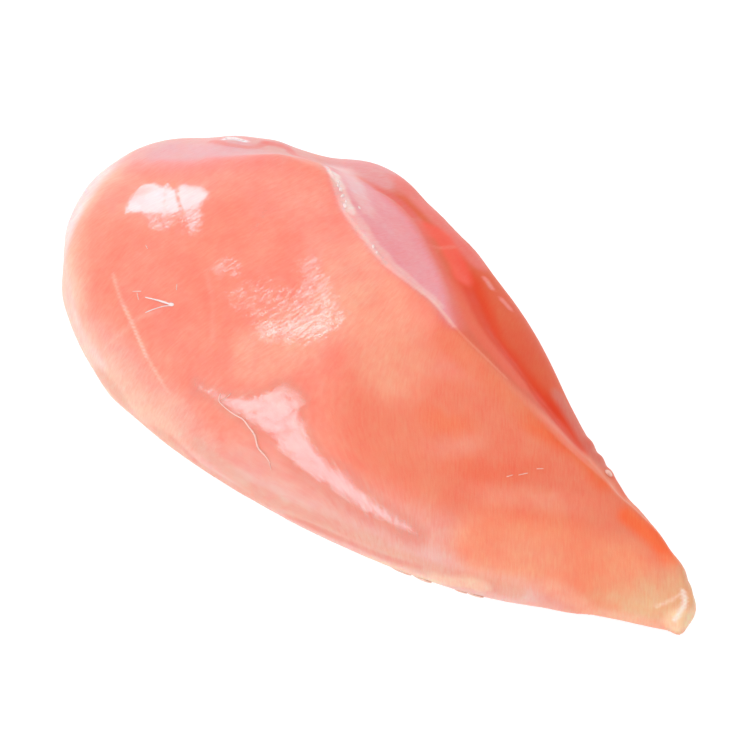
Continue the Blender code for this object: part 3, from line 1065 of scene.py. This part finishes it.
@dataclass
class Trimmings:
    """Scraps of fat, tendon and film that the knife left on the fillet."""

    tendon: Tissue = Tissue("white_tendon", "f6dcd6", 0.35)
    film: Tissue = Tissue("pink_connective_film", "f8c0b0", 0.35)
    ridge_fat: Tissue = Tissue("soft_chicken_fat", "ffdcd6", 0.3)
    rim_fat: Tissue = Tissue("soft_rim_fat", "f0bca6", 0.35)

    def ridge_beads(self) -> list[Bead]:
        """Beads of fat that glisten at the head of the ridge."""
        return [
            Bead((-36.9, 23.9), 0.5, 1.8, -50.0, 0.4),
            Bead((-35.8, 22.6), 0.4, 1.4, -20.0, 0.4),
            Bead((-34.6, 22.2), 0.55, 1.6, -45.0, 0.4),
            Bead((-32.9, 20.9), 0.45, 1.9, -60.0, 0.4),
            Bead((-31.2, 20.2), 0.35, 1.3, -40.0, 0.4),
            Bead((-30.4, 18.9), 0.5, 1.7, -35.0, 0.4),
            Bead((-28.2, 21.8), 0.35, 1.5, 0.0, 0.4),
            Bead((-17.6, 14.5), 0.35, 2.0, -30.0, 0.4),
            Bead((-15.9, 13.8), 0.3, 1.6, -30.0, 0.4),
        ]

    def rim_lumps(self) -> list[Bead]:
        """Soft fat along the lower rim of the near side."""
        return [
            Bead((34.5, -37.6), 1.2, 2.4, 12.0, 0.4, 2.2),
            Bead((39.5, -35.8), 1.3, 2.2, 16.0, 0.4, 2.5),
            Bead((48.6, -32.0), 0.9, 2.2, 22.0, 0.4, 2.0),
            Bead((52.0, -30.5), 1.1, 2.2, 25.0, 0.4, 2.6),
        ]

    def tendons(self) -> list[Strand | Bead]:
        """White threads of tendon on the plump end, and a white strip under the painted glint at its far
        edge.
        """
        return [
            Strand(((-52.5, -30.5), (-50.1, -29.6), (-47.7, -28.8), (-45.4, -28.1)), 0.26, 0.08),
            Bead((-45.9, -28.2), 0.5, 1.5, 20.0, 0.5),
            Strand(((-45.6, -28.4), (-47.0, -29.4), (-48.6, -31.2), (-50.1, -33.2)), 0.15, 0.03),
            # A white strip of film that, with the paint under it, stands in for the glint
            Strand(PAINTED_GLINT, 0.5, 0.05),
        ]

    def films(self) -> list[Strand | Bead]:
        """Pinker threads and ticks of connective tissue, and one scrap beside the flank."""
        dashes = (((43.7, -9.4), (44.6, -7.9)), ((45.5, -7.1), (46.9, -5.1)),
                  ((47.7, -2.9), (48.9, -1.6)))
        ticks = (((-56.2, -31.1), (-54.2, -29.9)), ((-55.0, -30.7), (-53.5, -31.8)),
                 ((-60.9, -20.7), (-59.8, -21.2)), ((-48.0, -23.6), (-47.1, -24.9)))
        return [
            Strand(((-22.4, -36.8), (-21.7, -38.3), (-18.9, -38.6), (-16.4, -38.5), (-14.2, -38.2),
                    (-11.9, -38.6), (-9.6, -39.1), (-7.8, -40.3), (-6.5, -40.6), (-5.2, -40.7),
                    (-3.6, -41.0), (-2.2, -41.9)), 0.24, 0.1),
            Strand(((-21.3, -38.1), (-20.5, -36.7), (-20.2, -35.5)), 0.13, 0.05),
            Bead((58.8, 12.3), 0.8, 1.5, 60.0, 0.6),
            *(Strand(dash, 0.14, -0.03, 0.4) for dash in dashes),
            *(Strand(tick, 0.16, -0.02, 0.3) for tick in ticks),
        ]

    def build(self, surface: Surface) -> list[bpy.types.Object]:
        """Make the scraps, one piece for each kind.

        Args:
            surface: the skin that they lie on.

        Returns:
            The finished pieces.
        """
        kinds = {
            "ridge_fat_beads": (self.ridge_beads(), self.ridge_fat),
            "rim_fat_lumps": (self.rim_lumps(), self.rim_fat),
            "tendon_threads_and_glint_strip": (self.tendons(), self.tendon),
            "film_threads": (self.films(), self.film),
        }
        pieces = []
        for name, (scraps, tissue) in kinds.items():
            made = [scrap.build(surface) for scrap in scraps]
            bpy.ops.object.select_all(action="DESELECT")
            for scrap in made:
                scrap.select_set(True)
            bpy.context.view_layer.objects.active = made[0]
            bpy.ops.object.join()
            piece = bpy.context.active_object
            piece.name = name
            bpy.ops.object.shade_smooth()
            piece.data.materials.append(tissue.material())
            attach(piece, "root")
            pieces.append(piece)
        return pieces


@dataclass(frozen=True)
class Softbox:
    """One square-cornered studio light behind a white diffuser, aimed at the fillet.

    Its bearing is measured from straight away from the camera towards the right, and its
    height and roll are angles too, all in degrees. The rest of its sizes are in metres.
    """

    name: str
    bearing: float
    height: float
    distance: float
    width: float
    depth: float
    radiance: float
    roll: float = 0.0
    tint: str = "ceebff"

    def place(self, aim: Vector, camera_bearing: float) -> None:
        """Set up the light.

        Args:
            aim: the point that it faces, in metres.
            camera_bearing: direction that the camera looks from, in degrees.
        """
        angle = math.radians(camera_bearing)
        away = Vector((-math.sin(angle), math.cos(angle), 0.0))
        right = Vector((math.cos(angle), math.sin(angle), 0.0))
        turn, lift = math.radians(self.bearing), math.radians(self.height)
        level = away * math.cos(turn) + right * math.sin(turn)
        direction = level * math.cos(lift) + Vector((0.0, 0.0, math.sin(lift)))
        bpy.ops.object.light_add(type="AREA")
        light = bpy.context.active_object
        light.name = self.name
        light.data.shape = "RECTANGLE"
        light.data.size = self.width
        light.data.size_y = self.depth
        light.data.energy = self.radiance * math.pi * self.width * self.depth
        light.data.color = linear(self.tint)
        light.location = aim + direction * self.distance
        sideways = Vector((0.0, 0.0, 1.0)).cross(direction).normalized()
        square = Matrix((sideways, direction.cross(sideways), direction)).transposed()
        spin = Matrix.Rotation(math.radians(self.roll), 3, "Z")
        light.rotation_euler = (square @ spin).to_euler()


@dataclass
class Studio:
    """White light table, soft lights and the camera.

    Bearing and tilt place the camera, in degrees. It looks at the aim, in millimetres,
    from a distance in metres. The strengths light the room, and the camera sees the
    backdrop's.
    """

    bearing: float = 40.0
    tilt: float = 60.0
    lens: float = 120.0
    distance: float = 0.62
    aim: tuple[float, float, float] = (-1.45, -3.7, 14.0)
    wall_strength: float = 0.43
    ceiling_strength: float = 1.02
    backdrop_strength: float = 1.3
    table_glow: float = 0.85
    table_size: float = 4.0

    def room(self) -> None:
        """Surround the table with soft light that comes mostly from above.

        The walls are dimmer, so flesh doesn't turn white where it is seen at a slant.
        The camera itself sees a white backdrop past the table.
        """
        world = bpy.data.worlds.new("soft_room")
        world.use_nodes = True
        tree = world.node_tree
        background = tree.nodes["Background"]
        aim = add_node(tree, "ShaderNodeTexCoord")
        height = add_node(tree, "ShaderNodeSeparateXYZ", links={"Vector": aim.outputs["Generated"]})
        glow = add_node(
            tree, "ShaderNodeMapRange",
            {"To Min": self.wall_strength, "To Max": self.ceiling_strength},
            {"Value": height.outputs["Z"]})
        path = add_node(tree, "ShaderNodeLightPath")
        seen = add_node(
            tree, "ShaderNodeMix", {"data_type": "FLOAT", 3: self.backdrop_strength},
            {0: path.outputs["Is Camera Ray"], 2: glow.outputs["Result"]})
        background.inputs["Color"].default_value = rgba("fffaf4")
        tree.links.new(seen.outputs[0], background.inputs["Strength"])
        bpy.context.scene.world = world

    def table(self) -> None:
        """Lay the fillet on milk-white acrylic that is lit from below."""
        bpy.ops.mesh.primitive_plane_add(size=self.table_size)
        top = bpy.context.active_object
        top.name = "light_table"
        material, _, shader = new_material("opal_acrylic")
        shader.inputs["Base Color"].default_value = rgba("8c8c8c")
        shader.inputs["Roughness"].default_value = 0.6
        shader.inputs["Emission Color"].default_value = (1.0, 1.0, 1.0, 1.0)
        shader.inputs["Emission Strength"].default_value = self.table_glow
        top.data.materials.append(material)

    def camera(self) -> None:
        """Look down on the fillet from its near side, with the tip at the lower right."""
        turn, lift = math.radians(self.bearing), math.radians(self.tilt)
        back = Vector((math.sin(turn) * math.cos(lift), -math.cos(turn) * math.cos(lift), math.sin(lift)))
        right = Vector((math.cos(turn), math.sin(turn), 0.0))
        upright = Matrix((right, back.cross(right), back)).transposed().to_4x4()
        bpy.ops.object.camera_add()
        camera = bpy.context.active_object
        camera.data.lens = self.lens
        camera.data.sensor_width = 36.0
        camera.matrix_world = Matrix.Translation(Vector(self.aim) * MM + back * self.distance) @ upright
        bpy.context.scene.camera = camera

    def build(self) -> None:
        """Set up everything that isn't part of the fillet."""
        self.room()
        self.table()
        aim = Vector(self.aim) * MM
        for light in (
            Softbox("window_behind_left", -26.0, 31.8, 0.9, 0.20, 1.04, 3.8, -4.0),
            Softbox("strip_front_left", -131.0, 40.0, 0.9, 1.22, 0.44, 2.3, -60.0),
            Softbox("overhead", -19.0, 74.3, 0.9, 0.16, 0.36, 3.6, -60.0),
        ):
            light.place(aim, self.bearing)
        self.camera()
        bpy.context.scene.view_settings.view_transform = "Standard"


def main() -> None:
    """Build the fillet, its scraps and the studio, and report each piece."""
    logging.basicConfig(level=logging.INFO, format="%(message)s")
    skin = Fillet().build()
    scraps = Trimmings().build(Surface(skin))
    for piece in (skin, *scraps):
        LOG.info("%s: %d faces", piece.name, len(piece.data.polygons))
    Studio().build()


if __name__ == "__main__":
    main()
